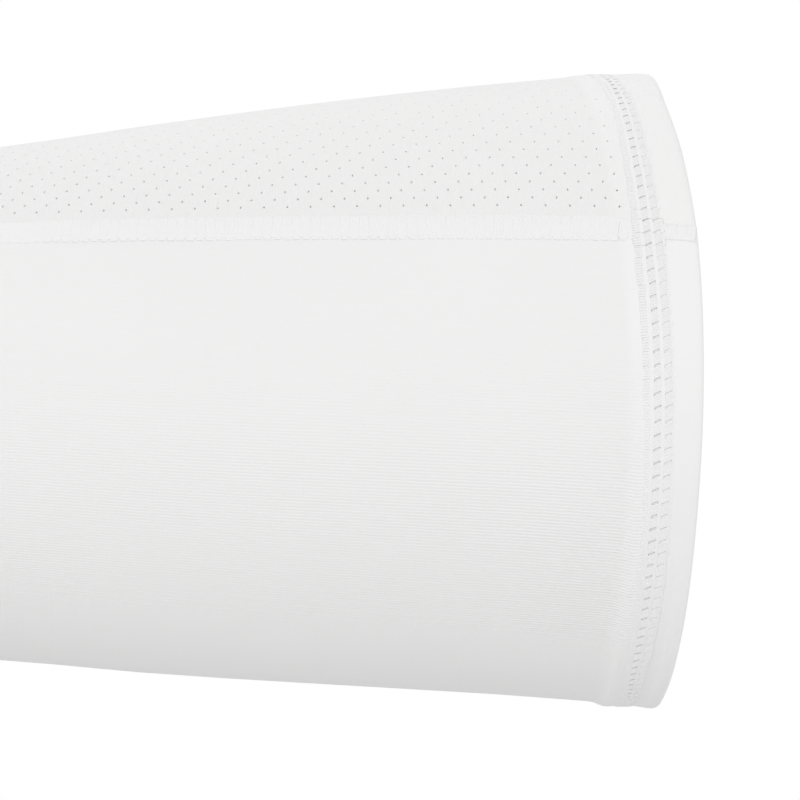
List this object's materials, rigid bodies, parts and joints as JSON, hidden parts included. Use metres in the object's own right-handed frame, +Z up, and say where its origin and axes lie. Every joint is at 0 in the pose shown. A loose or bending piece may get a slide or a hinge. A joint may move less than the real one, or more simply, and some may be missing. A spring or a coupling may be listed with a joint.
{
  "type": "arm compression sleeve",
  "caption": "Knit compression sleeve for the whole arm in its worn shape, with a perforated mesh panel, flatlock seams and folded, coverstitched hems.",
  "frame": {"origin": "centre of the upper-arm opening, in the plane that the rim's near and far sides reach furthest", "axes": "+X runs along the sleeve from the wrist to the upper-arm opening, +Z is up with the mesh panel on top, -Y is the near side in the picture"},
  "size_m": [0.4019, 0.1126, 0.115],
  "materials": {
    "ribbed_knit": "white fine-ribbed stretch knit, soft matt sheen",
    "perforated_mesh": "white perforated stretch knit, matt",
    "seam_thread": "white textured polyester thread, soft sheen"
  },
  "bodies": {
    "root": {"main_panel": "ribbed_knit", "upper_hem_knit": "ribbed_knit", "wrist_hem_knit": "ribbed_knit", "mesh_panel": "perforated_mesh", "upper_hem_mesh": "perforated_mesh", "wrist_hem_mesh": "perforated_mesh", "front_seam": "seam_thread", "back_seam": "seam_thread", "upper_coverstitch": "seam_thread", "wrist_coverstitch": "seam_thread"}
  },
  "joints": []
}
